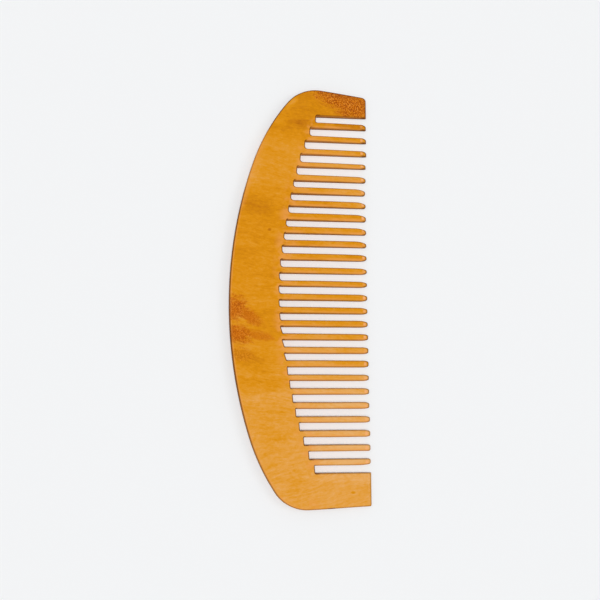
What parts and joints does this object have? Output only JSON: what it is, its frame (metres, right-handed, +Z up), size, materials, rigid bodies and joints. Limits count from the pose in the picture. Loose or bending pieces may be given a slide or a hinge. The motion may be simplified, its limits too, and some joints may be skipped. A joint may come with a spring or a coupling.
{
  "type": "wooden comb",
  "caption": "One-piece wooden dressing comb with a long curved spine, straight teeth with ground tips and solid end guards.",
  "frame": {"origin": "middle of the comb's bounding box, on the flat back that it rests on", "axes": "+X from the spine to the tips of the teeth, +Y along the comb towards its narrow end guard, +Z up, out of the crowned face"},
  "size_m": [0.0604, 0.1804, 0.0039],
  "materials": {
    "varnished_wood": "satin amber varnish over fine straight grain"
  },
  "bodies": {
    "root": {"comb": "varnished_wood"}
  },
  "joints": []
}
